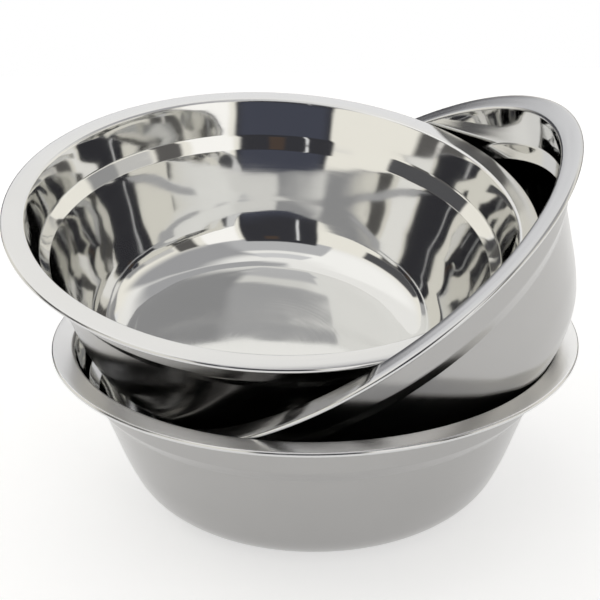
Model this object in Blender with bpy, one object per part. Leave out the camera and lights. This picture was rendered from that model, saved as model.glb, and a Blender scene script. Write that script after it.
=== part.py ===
"""Loose stack of three equal round basins drawn from stainless-steel sheet.

Each basin is one sheet: flat base, curved lower wall, a shelf-like step, steep upper wall,
flat brim and an edge that is folded under.  The bottom basin stands level on its base.  The
middle basin leans in it and the top basin sits in the middle one.  Every tilted basin rests
on the mouth of the basin below at four places, two under its body and two under its brim.

Metres, +Z up, origin at the centre of the bottom basin's base, +Y away from the front.
"""

import math

import bmesh
import bpy
from mathutils import Matrix, Vector

# ---------------------------------------------------------------- sheet and overall size
SHEET = 0.0008           # thickness of the steel
BRIM_R = 0.130           # outer radius of the brim
HEIGHT = 0.0824          # underside of the base to the top of the brim

# ---------------------------------------------------------------- wall, on the sheet's centre line
BASE_CORNER_R = 0.0858   # where the flat base and the lower wall would meet
BASE_BEND = 0.029        # radius of the bend between them
BELLY_R = 0.0974         # middle of the slightly curved lower wall
BELLY_DROP = 0.0570      # depth of that point below the brim
BELLY_BEND = 0.120       # radius of the lower wall's curve
STEP_IN_R = 0.1085       # inner edge of the step
STEP_IN_DROP = 0.0252
STEP_IN_BEND = 0.0012
STEP_OUT_R = 0.1133      # outer edge of the step, at the foot of the upper wall
STEP_OUT_DROP = 0.0190
STEP_OUT_BEND = 0.0050
MOUTH_R = 0.1195         # where the upper wall meets the brim
MOUTH_BEND = 0.0013

# ---------------------------------------------------------------- folded edge
HEM_DEPTH = 0.0017       # brim sheet to folded sheet, centre line to centre line
HEM_LENGTH = 0.0030      # how far the fold reaches back under the brim

# ---------------------------------------------------------------- how the basins lie
MIDDLE_BASE = (0.05693, 0.00792, 0.05003)   # centre of the middle basin's base
MIDDLE_LEAN = 32.21                          # degrees from level
MIDDLE_LEAN_TO = -172.08                     # direction its mouth faces, degrees from +X
TOP_BASE = (-0.02432, 0.01888, 0.06408)
TOP_LEAN = 12.03
TOP_LEAN_TO = -73.24

SEGMENTS = 64            # sides of each round basin


def clear_scene():
    """Start from an empty scene."""
    for obj in list(bpy.data.objects):
        bpy.data.objects.remove(obj, do_unlink=True)


def bend(before, corner, after, radius, steps):
    """Points of an arc that rounds the corner between two straight runs."""
    to_before = (before - corner).normalized()
    to_after = (after - corner).normalized()
    half = to_before.angle(to_after) / 2.0
    centre = corner + (to_before + to_after).normalized() * (radius / math.sin(half))
    start = corner + to_before * (radius / math.tan(half)) - centre
    end = corner + to_after * (radius / math.tan(half)) - centre
    first = math.atan2(start.y, start.x)
    turn = (math.atan2(end.y, end.x) - first + math.pi) % (2.0 * math.pi) - math.pi
    angles = [first + turn * i / steps for i in range(steps + 1)]
    return [centre + Vector((math.cos(a), math.sin(a))) * radius for a in angles]


def centre_line():
    """Centre line of the sheet as (radius, height), from the base's middle to the hem's tip."""
    low = SHEET / 2.0
    brim = HEIGHT - SHEET / 2.0
    edge = BRIM_R - SHEET / 2.0
    middle = Vector((0.0, low))
    base_corner = Vector((BASE_CORNER_R, low))
    belly = Vector((BELLY_R, HEIGHT - BELLY_DROP))
    step_in = Vector((STEP_IN_R, HEIGHT - STEP_IN_DROP))
    step_out = Vector((STEP_OUT_R, HEIGHT - STEP_OUT_DROP))
    mouth = Vector((MOUTH_R, brim))
    edge_top = Vector((edge, brim))
    edge_low = Vector((edge, brim - HEM_DEPTH))
    hem_tip = Vector((edge - HEM_LENGTH, brim - HEM_DEPTH))
    fold = HEM_DEPTH / 2.0
    line = [middle]
    line += bend(middle, base_corner, belly, BASE_BEND, 5)
    line += bend(base_corner, belly, step_in, BELLY_BEND, 3)
    line += bend(belly, step_in, step_out, STEP_IN_BEND, 1)
    line += bend(step_in, step_out, mouth, STEP_OUT_BEND, 2)
    line += bend(step_out, mouth, edge_top, MOUTH_BEND, 3)
    line += bend(mouth, edge_top, edge_low, fold, 2)
    line += bend(edge_top, edge_low, hem_tip, fold, 2)[1:]
    line.append(hem_tip)
    return line


def offset(line, distance):
    """The same line moved sideways by a distance, mitred at every point."""
    runs = [(b - a).normalized() for a, b in zip(line, line[1:])]
    sides = [Vector((run.y, -run.x)) for run in runs]
    moved = []
    for i, point in enumerate(line):
        before = sides[max(i - 1, 0)]
        after = sides[min(i, len(sides) - 1)]
        mitre = (before + after).normalized()
        moved.append(point + mitre * (distance / mitre.dot(after)))
    return moved


def steel(name, tone):
    """Polished stainless steel."""
    material = bpy.data.materials.new(name)
    material.use_nodes = True
    shader = material.node_tree.nodes["Principled BSDF"]
    shader.inputs["Base Color"].default_value = (tone, tone, tone * 0.985, 1.0)
    shader.inputs["Metallic"].default_value = 1.0
    shader.inputs["Roughness"].default_value = 0.14
    return material


def lean(degrees, towards):
    """Rotation that tips the upright axis by an angle towards a compass direction."""
    direction = math.radians(towards)
    hinge = Vector((-math.sin(direction), math.cos(direction), 0.0))
    return Matrix.Rotation(math.radians(degrees), 4, hinge)


def basin(name, tone, base, rotation):
    """One basin: the sheet's cross-section spun once around its upright axis."""
    line = centre_line()
    outline = offset(line, SHEET / 2.0) + offset(line, -SHEET / 2.0)[::-1]
    mesh = bmesh.new()
    points = [mesh.verts.new((p.x, 0.0, p.y)) for p in outline]
    edges = [mesh.edges.new(pair) for pair in zip(points, points[1:])]
    bmesh.ops.spin(
        mesh,
        geom=points + edges,
        cent=(0.0, 0.0, 0.0),
        axis=(0.0, 0.0, 1.0),
        angle=2.0 * math.pi,
        steps=SEGMENTS,
        use_merge=True,
    )
    bmesh.ops.remove_doubles(mesh, verts=mesh.verts[:], dist=0.00001)
    bmesh.ops.recalc_face_normals(mesh, faces=mesh.faces[:])
    data = bpy.data.meshes.new(name)
    mesh.to_mesh(data)
    mesh.free()
    obj = bpy.data.objects.new(name, data)
    bpy.context.scene.collection.objects.link(obj)
    data.materials.append(steel(name + "_steel", tone))
    data.shade_smooth()
    data.set_sharp_from_angle(angle=math.radians(35.0))
    obj.matrix_world = Matrix.Translation(Vector(base)) @ rotation
    return obj


clear_scene()
basin("bottom_basin", 0.78, (0.0, 0.0, 0.0), Matrix.Identity(4))
basin("middle_basin", 0.76, MIDDLE_BASE, lean(MIDDLE_LEAN, MIDDLE_LEAN_TO))
basin("top_basin", 0.80, TOP_BASE, lean(TOP_LEAN, TOP_LEAN_TO))
bpy.context.view_layer.update()
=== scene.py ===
"""Three polished steel basins in a loose stack, in a white studio."""
import math

import bpy
from mathutils import Matrix, Vector


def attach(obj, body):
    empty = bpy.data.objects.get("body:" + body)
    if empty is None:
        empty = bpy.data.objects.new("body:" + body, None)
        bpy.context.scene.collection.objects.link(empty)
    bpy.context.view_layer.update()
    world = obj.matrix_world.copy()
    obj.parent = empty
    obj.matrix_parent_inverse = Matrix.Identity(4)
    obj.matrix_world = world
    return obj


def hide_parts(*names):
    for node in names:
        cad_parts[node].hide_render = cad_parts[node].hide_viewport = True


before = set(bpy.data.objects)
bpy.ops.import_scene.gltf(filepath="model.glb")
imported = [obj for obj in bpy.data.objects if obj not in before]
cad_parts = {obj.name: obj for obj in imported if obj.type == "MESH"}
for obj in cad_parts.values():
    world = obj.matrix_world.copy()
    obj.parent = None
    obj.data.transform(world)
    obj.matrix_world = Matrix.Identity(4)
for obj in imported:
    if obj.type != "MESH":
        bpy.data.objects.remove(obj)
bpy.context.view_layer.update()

# ------------------------------------------------------------------ the basin's cross-section, metres
SHEET = 0.0008           # thickness of the steel
BRIM_R = 0.130           # outer radius of the brim
HEIGHT = 0.0824          # underside of the base to the top of the brim
BASE_CORNER_R = 0.0858   # where the flat base and the lower wall would meet
BASE_BEND = 0.029        # radius of the bend between them
BELLY_R = 0.0974         # middle of the slightly curved lower wall
BELLY_DROP = 0.0570      # depth of that point below the brim
BELLY_BEND = 0.120       # radius of the lower wall's curve
STEP_IN_R = 0.1085       # inner edge of the step
STEP_IN_DROP = 0.0252
STEP_IN_BEND = 0.0012
STEP_OUT_R = 0.1133      # outer edge of the step, at the foot of the upper wall
STEP_OUT_DROP = 0.0190
STEP_OUT_BEND = 0.0050
MOUTH_R = 0.1195         # where the upper wall meets the brim
MOUTH_BEND = 0.0013
HEM_DEPTH = 0.0017       # brim sheet to folded sheet, centre line to centre line
HEM_LENGTH = 0.0030      # how far the fold reaches back under the brim

# ------------------------------------------------------------------ how the basins lie
# Each body: centre of the base's underside in metres, the angle the basin leans from level, and the
# direction its mouth leans towards, in degrees from +X.
BASINS = {
    "bottom": ((0.0, 0.0, 0.0), 0.0, 0.0),
    "middle": ((0.05693, 0.00792, 0.05003), 32.21, -172.08),
    "top": ((-0.02432, 0.01888, 0.06408), 12.03, -73.24),
}

# ------------------------------------------------------------------ fineness of the shells
AROUND = 192                    # sides of each round shell
LONGEST_RUN = 0.0035                                  # no straight piece of the outline is longer
ARC_STEPS = {"base": 22, "belly": 14, "step_in": 6, "step_out": 8, "mouth": 8, "fold": 7}
SHARP_ANGLE = math.radians(40.0)

# ------------------------------------------------------------------ which finish a face wears
INSIDE, BRIM, OUTSIDE, EDGE = range(4)                # the order of FINISHES below
BRIM_STARTS = MOUTH_R - 0.0006                        # the brim's finish reaches into the mouth's bend
ROLL_STARTS = BRIM_R - 0.0010                         # outwards of this and lower than the next,
ROLL_TOP = HEIGHT - 0.00012                           # the sheet is already rolling under
BRIM_LOWEST = HEIGHT - 0.002                          # what lies lower than this is hem


def bend(before, corner, after, radius, steps):
    """Points of an arc that rounds the corner between two straight runs."""
    to_before = (before - corner).normalized()
    to_after = (after - corner).normalized()
    half = to_before.angle(to_after) / 2.0
    centre = corner + (to_before + to_after).normalized() * (radius / math.sin(half))
    start = corner + to_before * (radius / math.tan(half)) - centre
    end = corner + to_after * (radius / math.tan(half)) - centre
    first = math.atan2(start.y, start.x)
    turn = (math.atan2(end.y, end.x) - first + math.pi) % (2.0 * math.pi) - math.pi
    angles = [first + turn * i / steps for i in range(steps + 1)]
    return [centre + Vector((math.cos(a), math.sin(a))) * radius for a in angles]


def centre_line():
    """Centre line of the sheet as (radius, height), from the base's middle to the hem's tip."""
    low = SHEET / 2.0
    brim = HEIGHT - SHEET / 2.0
    edge = BRIM_R - SHEET / 2.0
    middle = Vector((0.0, low))
    base_corner = Vector((BASE_CORNER_R, low))
    belly = Vector((BELLY_R, HEIGHT - BELLY_DROP))
    step_in = Vector((STEP_IN_R, HEIGHT - STEP_IN_DROP))
    step_out = Vector((STEP_OUT_R, HEIGHT - STEP_OUT_DROP))
    mouth = Vector((MOUTH_R, brim))
    edge_top = Vector((edge, brim))
    edge_low = Vector((edge, brim - HEM_DEPTH))
    hem_tip = Vector((edge - HEM_LENGTH, brim - HEM_DEPTH))
    fold = HEM_DEPTH / 2.0
    runs = [
        [middle],
        bend(middle, base_corner, belly, BASE_BEND, ARC_STEPS["base"]),
        bend(base_corner, belly, step_in, BELLY_BEND, ARC_STEPS["belly"]),
        bend(belly, step_in, step_out, STEP_IN_BEND, ARC_STEPS["step_in"]),
        bend(step_in, step_out, mouth, STEP_OUT_BEND, ARC_STEPS["step_out"]),
        bend(step_out, mouth, edge_top, MOUTH_BEND, ARC_STEPS["mouth"]),
        bend(mouth, edge_top, edge_low, fold, ARC_STEPS["fold"]),
        bend(edge_top, edge_low, hem_tip, fold, ARC_STEPS["fold"])[1:],
        [hem_tip],
    ]
    return joined(runs)


def joined(runs):
    """The runs as one line, with the straight gaps between them cut into short pieces."""
    nearest = 1e-6
    line = []
    for run in runs:
        if line:
            cuts = int((run[0] - line[-1]).length / LONGEST_RUN)
            start = line[-1].copy()
            line += [start.lerp(run[0], (i + 1) / (cuts + 1)) for i in range(cuts)]
        line += [p for p in run if not line or (p - line[-1]).length > nearest]
    return line


def offset(line, distance):
    """The same line moved sideways by a distance, mitred at every point."""
    runs = [(b - a).normalized() for a, b in zip(line, line[1:])]
    sides = [Vector((run.y, -run.x)) for run in runs]
    moved = []
    for i, point in enumerate(line):
        before = sides[max(i - 1, 0)]
        after = sides[min(i, len(sides) - 1)]
        mitre = (before + after).normalized()
        moved.append(point + mitre * (distance / mitre.dot(after)))
    return moved


def pose_matrix(base, degrees, towards):
    """Placement of a basin: where its base is, how far it leans and where its mouth leans to."""
    direction = math.radians(towards)
    hinge = Vector((-math.sin(direction), math.cos(direction), 0.0))
    return Matrix.Translation(Vector(base)) @ Matrix.Rotation(math.radians(degrees), 4, hinge)


def finish_slot(middle, underside):
    """Material slot of a stretch of the outline, from its middle and the side of the sheet it is on."""
    if middle.x <= BRIM_STARTS:
        return OUTSIDE if underside else INSIDE
    rolled = middle.x > ROLL_STARTS and middle.y < ROLL_TOP
    return EDGE if underside or rolled or middle.y < BRIM_LOWEST else BRIM


def turned_faces(outline, rings, outer_count):
    """Faces between neighbouring rings, each with its slot, its row and its side."""
    spans = []
    for k in range(len(outline) - 1):
        a, b = rings[k], rings[k + 1]
        slot = finish_slot((outline[k] + outline[k + 1]) / 2.0, k < outer_count - 1)
        for j in range(AROUND):
            n = (j + 1) % AROUND
            if len(a) == 1:
                face = (a[0], b[n], b[j])
            elif len(b) == 1:
                face = (a[j], a[n], b[0])
            else:
                face = (a[j], a[n], b[n], b[j])
            spans.append((face, slot, k, j))
    return spans


def turned_points(outline):
    """Points of the turned shell in the basin's own frame, and the ring of numbers at each row."""
    on_axis = 1e-7
    points = []
    rings = []
    for p in outline:
        if p.x < on_axis:
            rings.append([len(points)])
            points.append((0.0, 0.0, p.y))
            continue
        rings.append(list(range(len(points), len(points) + AROUND)))
        for j in range(AROUND):
            a = 2.0 * math.pi * j / AROUND
            points.append((p.x * math.cos(a), p.x * math.sin(a), p.y))
    return points, rings


def add_turned_uv(mesh, outline, rings, spans):
    """UV map with u once around the basin and v along the outline."""
    turned = mesh.uv_layers.new(name="turned")
    run = [0.0]
    for p, q in zip(outline, outline[1:]):
        run.append(run[-1] + (q - p).length)
    loop = 0
    for face, _, k, j in spans:
        for vertex in face:
            row = k if vertex < rings[k + 1][0] else k + 1
            at_side = (vertex - rings[row][0]) % AROUND == j or len(rings[row]) == 1
            side = j if at_side else j + 1
            turned.data[loop].uv = (side / AROUND, run[row] / run[-1])
            loop += 1


def basin(name, body, materials):
    """One basin as a fine turned shell with a finish for each of its surfaces."""
    line = centre_line()
    outer = offset(line, SHEET / 2.0)
    outline = outer + offset(line, -SHEET / 2.0)[::-1]
    points, rings = turned_points(outline)
    spans = turned_faces(outline, rings, len(outer))
    place = pose_matrix(*BASINS[body])
    mesh = bpy.data.meshes.new(name)
    mesh.from_pydata([place @ Vector(p) for p in points], [], [span[0] for span in spans])
    mesh.polygons.foreach_set("material_index", [span[1] for span in spans])
    spot = mesh.attributes.new("spot", "FLOAT_VECTOR", "POINT")
    spot.data.foreach_set("vector", [c for p in points for c in p])
    add_turned_uv(mesh, outline, rings, spans)
    mesh.validate()
    mesh.update()
    mesh.shade_smooth()
    mesh.set_sharp_from_angle(angle=SHARP_ANGLE)
    obj = bpy.data.objects.new(name, mesh)
    bpy.context.scene.collection.objects.link(obj)
    for material in materials:
        mesh.materials.append(material)
    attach(obj, body)
    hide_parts(body + "_basin")
    return obj


# ------------------------------------------------------------------ steel
class Nodes:
    """Short spellings for building a material's node tree."""

    def __init__(self, tree):
        self.tree = tree

    def add(self, kind, **settings):
        node = self.tree.nodes.new(kind)
        for key, value in settings.items():
            setattr(node, key, value)
        return node

    def feed(self, socket, value):
        """Link a socket to another node, set it to a value, or leave it alone for None."""
        if isinstance(value, bpy.types.NodeSocket):
            self.tree.links.new(value, socket)
        elif value is not None:
            socket.default_value = value

    def split(self, vector):
        node = self.add("ShaderNodeSeparateXYZ")
        self.feed(node.inputs[0], vector)
        return node.outputs

    def combine(self, x, y, z):
        node = self.add("ShaderNodeCombineXYZ")
        for socket, value in zip(node.inputs, (x, y, z)):
            self.feed(socket, value)
        return node.outputs[0]

    def math(self, operation, a, b=None, c=None):
        node = self.add("ShaderNodeMath", operation=operation)
        for socket, value in zip(node.inputs, (a, b, c)):
            self.feed(socket, value)
        return node.outputs[0]

    def vector(self, operation, a, b=None):
        node = self.add("ShaderNodeVectorMath", operation=operation)
        for socket, value in zip(node.inputs, (a, b)):
            self.feed(socket, value)
        return node.outputs["Value" if operation == "LENGTH" else "Vector"]

    def ramp(self, value, low, high, to_low=0.0, to_high=1.0):
        """A smooth step from one level to another as the value goes from low to high."""
        node = self.add("ShaderNodeMapRange", interpolation_type="SMOOTHSTEP")
        for socket, given in zip(node.inputs, (value, low, high, to_low, to_high)):
            self.feed(socket, given)
        return node.outputs["Result"]

    def noise(self, vector, scale, detail, roughness):
        node = self.add("ShaderNodeTexNoise")
        self.feed(node.inputs["Vector"], vector)
        node.inputs["Scale"].default_value = scale
        node.inputs["Detail"].default_value = detail
        node.inputs["Roughness"].default_value = roughness
        return node.outputs["Fac"]

    def mix_colour(self, amount, a, b):
        node = self.add("ShaderNodeMix", data_type="RGBA")
        self.feed(node.inputs["Factor"], amount)
        self.feed(node.inputs["A"], a)
        self.feed(node.inputs["B"], b)
        return node.outputs["Result"]

    def bump(self, height, distance, normal=None):
        node = self.add("ShaderNodeBump")
        node.inputs["Strength"].default_value = 1.0
        node.inputs["Distance"].default_value = distance
        self.feed(node.inputs["Height"], height)
        self.feed(node.inputs["Normal"], normal)
        return node.outputs["Normal"]


OPAQUE = (1.0,)                            # makes a colour's three values four

# Each finish: darkest and palest colour, least and most roughness, depth of the brushed lines and
# of the slow waves in the sheet, both in metres, and how much the brushing stretches the gloss.
FINISHES = {
    "inside": ((0.73, 0.73, 0.72), (0.77, 0.77, 0.76), 0.035, 0.075, 0.0, 0.0004, 0.0),
    "brim": ((0.72, 0.72, 0.72), (0.77, 0.77, 0.77), 0.16, 0.22, 4e-7, 0.0, 0.3),
    # the outside's colour is much darker than the inside's: painted shade, standing in for the shaded
    # floor next to the foot that this steel reflects
    "outside": ((0.40, 0.395, 0.39), (0.43, 0.425, 0.42), 0.15, 0.22, 8e-7, 0.00008, 0.3),
    "edge": ((0.60, 0.60, 0.60), (0.66, 0.66, 0.66), 0.10, 0.16, 0.0, 0.0, 0.0),
}
# Two of the brims differ: the bottom one is duller, and its pale colour is painted light; the middle
# one is smoother, and its darker colour is painted shade.
BRIMS = {
    "bottom": ((0.96, 0.96, 0.96), (0.99, 0.99, 0.99), 0.32, 0.38, 4e-7, 0.0, 0.3),
    "middle": ((0.62, 0.62, 0.625), (0.66, 0.66, 0.665), 0.12, 0.18, 4e-7, 0.0, 0.3),
}
# Noise for each kind of mark: scale, detail and roughness.
HAIR_NOISE = (1.0, 3.0, 0.6)
SMUDGE_NOISE = (28.0, 3.0, 0.55)
WAVE_NOISE = (30.0, 1.0, 0.4)
TURNING_NOISE = (1.0, 4.0, 0.7)
HAIR_ACROSS = 1800.0                       # brushed lines: fineness across their run, per metre
HAIR_ALONG = 45.0                          # and along it
HAIR_SHIFT = 7.0                           # keeps one basin's lines unlike the next one's
PATCH_SHIFT = (1.7, 0.9, 2.3)              # does the same for the smudges and the waves
MOTTLE_FROM, MOTTLE_TO = 0.3, 0.7          # band of the mixed noise that spans the roughness
TURNING_ACROSS = 900.0                     # turning marks on the base: fineness, per metre
TURNING_SHIFT = 3.0
TURNING_DEPTH = 0.00003
# Between the first two radii, the third value gives way to the fourth.
DULL_BASE = (0.064, 0.072, 0.01, 0.0)      # extra roughness of the base's inside
TURNING_FADE = (0.060, 0.068, 1.0, 0.12)   # strength of the turning marks
TURNING_START = (0.006, 0.030, 0.0, 1.0)   # there are none in the very middle


def brushed_lines(n, x, y, z, radius, seed):
    """Fine lines that run around the basin."""
    along = n.combine(
        n.math("MULTIPLY_ADD", radius, HAIR_ACROSS, n.math("MULTIPLY", x, HAIR_ALONG)),
        n.math("MULTIPLY", y, HAIR_ALONG),
        n.math("MULTIPLY_ADD", z, HAIR_ACROSS, seed * HAIR_SHIFT),
    )
    return n.noise(along, *HAIR_NOISE)


def turning_marks(n, radius, seed):
    """Rings left by turning, strongest on the flat of the base."""
    scaled = n.math("MULTIPLY", radius, TURNING_ACROSS)
    marks = n.noise(n.combine(scaled, seed * TURNING_SHIFT, 0.0), *TURNING_NOISE)
    strength = n.math("MULTIPLY", n.ramp(radius, *TURNING_FADE), n.ramp(radius, *TURNING_START))
    return n.math("MULTIPLY", marks, strength)


def steel(finish, body, seed):
    """Steel with one of the finishes, laid out in the basin's own coordinates."""
    look = BRIMS.get(body, FINISHES[finish]) if finish == "brim" else FINISHES[finish]
    dark, pale, smooth, dull, brush, wave, stretch = look
    m = bpy.data.materials.new(body + "_" + finish)
    m.use_nodes = True
    n = Nodes(m.node_tree)
    shader = m.node_tree.nodes["Principled BSDF"]
    spot = n.add("ShaderNodeAttribute", attribute_name="spot").outputs["Vector"]
    x, y, z = n.split(spot)
    radius = n.vector("LENGTH", n.combine(x, y, 0.0))
    shifted = n.vector("ADD", spot, tuple(seed * amount for amount in PATCH_SHIFT))
    hair = brushed_lines(n, x, y, z, radius, seed)
    smudge = n.noise(shifted, *SMUDGE_NOISE)
    n.feed(shader.inputs["Base Color"], n.mix_colour(smudge, dark + OPAQUE, pale + OPAQUE))
    shader.inputs["Metallic"].default_value = 1.0
    mottle = n.math("MULTIPLY_ADD", hair, 0.5, n.math("MULTIPLY", smudge, 0.5))
    rough = n.ramp(mottle, MOTTLE_FROM, MOTTLE_TO, smooth, dull)
    if finish == "inside":
        rough = n.math("ADD", rough, n.ramp(radius, *DULL_BASE))
    n.feed(shader.inputs["Roughness"], rough)
    normal = None
    if wave:
        normal = n.bump(n.noise(shifted, *WAVE_NOISE), wave)
    if finish == "inside":
        normal = n.bump(turning_marks(n, radius, seed), TURNING_DEPTH, normal)
    if brush:
        normal = n.bump(hair, brush, normal)
    n.feed(shader.inputs["Normal"], normal)
    if stretch:
        shader.inputs["Anisotropic"].default_value = stretch
        tangent = n.add("ShaderNodeTangent", direction_type="UV_MAP", uv_map="turned")
        n.feed(shader.inputs["Tangent"], tangent.outputs[0])
    return m


for seed, body in enumerate(BASINS):
    basin(body + "_shell", body, [steel(finish, body, seed) for finish in FINISHES])

# ------------------------------------------------------------------ camera
ELEVATION = math.radians(22.44)
ROLL = 0.0129                               # radians
SENSOR = 36.0
LENS = 83.95
DISTANCE = 0.6994                           # to the middle of the bottom mouth, along the view
AIM = Vector((0.01029233, 0.01994139))      # how far right and down of the view's axis it lies,
                                            # as a share of that distance


def make_camera():
    """A camera in front of the stack, looking down on it, rolled slightly to one side."""
    forward = Vector((0.0, math.cos(ELEVATION), -math.sin(ELEVATION)))
    level = Vector((1.0, 0.0, 0.0))
    below = forward.cross(level)
    right = level * math.cos(ROLL) + below * math.sin(ROLL)
    down = below * math.cos(ROLL) - level * math.sin(ROLL)
    target = Vector((0.0, 0.0, HEIGHT))
    data = bpy.data.cameras.new("camera")
    data.sensor_width = SENSOR
    data.lens = LENS
    camera = bpy.data.objects.new("camera", data)
    bpy.context.scene.collection.objects.link(camera)
    place = Matrix((right, -down, -forward)).transposed().to_4x4()
    place.translation = target - (right * AIM.x + down * AIM.y + forward) * DISTANCE
    camera.matrix_world = place
    bpy.context.scene.camera = camera


make_camera()

# ------------------------------------------------------------------ floor and light
WHITE = (1.03, 1.02, 0.99)
CREAM = (1.04, 1.01, 0.92)
NIGHT = (0.045, 0.045, 0.052)
CREAM_TO, WHITE_FROM = 36.0, 48.0           # elevations, in degrees, of the walls' two colours
BACKDROP = (1.0, 1.0, 1.0, 1.0)
# Each panel of the studio: azimuth of its middle, half its width, lowest and highest elevation, how
# soft its edges are, all in degrees, and its colour. Azimuth 0 is in front and 90 to the right.
# A later panel covers an earlier one.
PANELS = [
    (-75.0, 50.0, 44.0, 80.0, 8.0, (1.16, 1.15, 1.12)),         # soft box, high on the left
    (4.0, 42.0, 38.0, 64.5, 1.5, (0.57, 0.57, 0.58)),           # grey card, high in front
    (4.0, 38.0, 71.0, 82.0, 1.5, (0.74, 0.74, 0.75)),           # paler card above it
    (74.0, 40.0, 38.0, 74.0, 6.0, (0.42, 0.42, 0.43)),          # grey cards, high on the right
    (145.0, 28.0, 52.0, 84.0, 5.0, (0.45, 0.45, 0.46)),
    (180.0, 45.0, 19.0, 41.0, 2.0, (0.96, 0.96, 0.965)),        # white screen behind
    (177.0, 53.0, -90.0, 9.0, 1.5, (0.09, 0.09, 0.10)),         # black cards, low behind
    (-157.0, 15.0, -90.0, 21.0, 1.2, (0.09, 0.09, 0.10)),
    (-84.0, 14.0, -90.0, 26.0, 2.0, (0.13, 0.125, 0.12)),       # black card on the left
    (-82.0, 1.5, 4.0, 20.0, 1.0, (0.80, 0.78, 0.74)),           # with a slit of light in it
    (-85.0, 25.0, 25.0, 38.5, 1.5, (0.10, 0.10, 0.105)),        # wider black card above them
    (34.0, 11.0, -90.0, 39.0, 1.5, (1.22, 1.20, 1.16)),         # strip light, front right
    (57.0, 7.0, -90.0, 37.0, 1.5, (0.13, 0.125, 0.12)),         # black card beside it
    (76.0, 10.0, 20.0, 31.0, 2.0, (0.65, 0.64, 0.62)),          # grey cards on the right
    (95.0, 9.0, 16.0, 30.0, 2.0, (0.36, 0.36, 0.36)),
    (-3.0, 23.0, -90.0, 43.0, 1.2, NIGHT),                      # black card in front
    (-3.0, 21.0, -90.0, 6.0, 3.0, (0.07, 0.075, 0.10)),         # bluer low down
    (2.5, 4.0, 31.0, 38.0, 1.5, (0.085, 0.062, 0.05)),          # with a brownish patch high up
    (-14.0, 0.8, 8.0, 37.0, 0.6, (0.9, 0.9, 0.9)),              # and a slit of light
]
FLOOR_REACH = 0.9                           # metres from the middle to each side
FLOOR_GREY = 0.75
FLOOR_ROUGHNESS = 0.9
FLOOR_GLOW = 0.50


def make_world():
    """The studio around the basins; the camera itself sees plain white behind them."""
    world = bpy.data.worlds.new("studio")
    bpy.context.scene.world = world
    world.use_nodes = True
    n = Nodes(world.node_tree)
    background = world.node_tree.nodes["Background"]
    x, y, z = n.split(n.add("ShaderNodeTexCoord").outputs["Generated"])
    azimuth = n.math("DEGREES", n.math("ARCTAN2", x, n.math("MULTIPLY", y, -1.0)))
    elevation = n.math("DEGREES", n.math("ARCSINE", z))
    colour = n.mix_colour(n.ramp(elevation, CREAM_TO, WHITE_FROM), CREAM + OPAQUE, WHITE + OPAQUE)
    for middle, half, low, high, soft, shade in PANELS:
        away = n.math("WRAP", n.math("SUBTRACT", azimuth, middle), 180.0, -180.0)
        across = n.ramp(n.math("ABSOLUTE", away), half - soft, half + soft, 1.0, 0.0)
        under = n.ramp(elevation, high - soft, high + soft, 1.0, 0.0)
        over = n.ramp(elevation, low - soft, low + soft)
        mask = n.math("MULTIPLY", across, n.math("MULTIPLY", under, over))
        colour = n.mix_colour(mask, colour, shade + OPAQUE)
    direct = n.add("ShaderNodeLightPath").outputs["Is Camera Ray"]
    n.feed(background.inputs["Color"], n.mix_colour(direct, colour, BACKDROP))
    background.inputs["Strength"].default_value = 1.0


def make_floor():
    """A pale floor that glows slightly, so that it is nearly as white as the backdrop."""
    mesh = bpy.data.meshes.new("floor")
    around = [(-1.0, -1.0), (1.0, -1.0), (1.0, 1.0), (-1.0, 1.0)]
    corners = [(x * FLOOR_REACH, y * FLOOR_REACH, 0.0) for x, y in around]
    mesh.from_pydata(corners, [], [(0, 1, 2, 3)])
    floor = bpy.data.objects.new("floor", mesh)
    bpy.context.scene.collection.objects.link(floor)
    m = bpy.data.materials.new("floor_paint")
    m.use_nodes = True
    shader = m.node_tree.nodes["Principled BSDF"]
    shader.inputs["Base Color"].default_value = (FLOOR_GREY, FLOOR_GREY, FLOOR_GREY, 1.0)
    shader.inputs["Roughness"].default_value = FLOOR_ROUGHNESS
    shader.inputs["Specular IOR Level"].default_value = 0.0
    shader.inputs["Emission Color"].default_value = (1.0, 1.0, 1.0, 1.0)
    shader.inputs["Emission Strength"].default_value = FLOOR_GLOW
    mesh.materials.append(m)


make_world()
make_floor()
bpy.context.scene.view_settings.view_transform = "Standard"
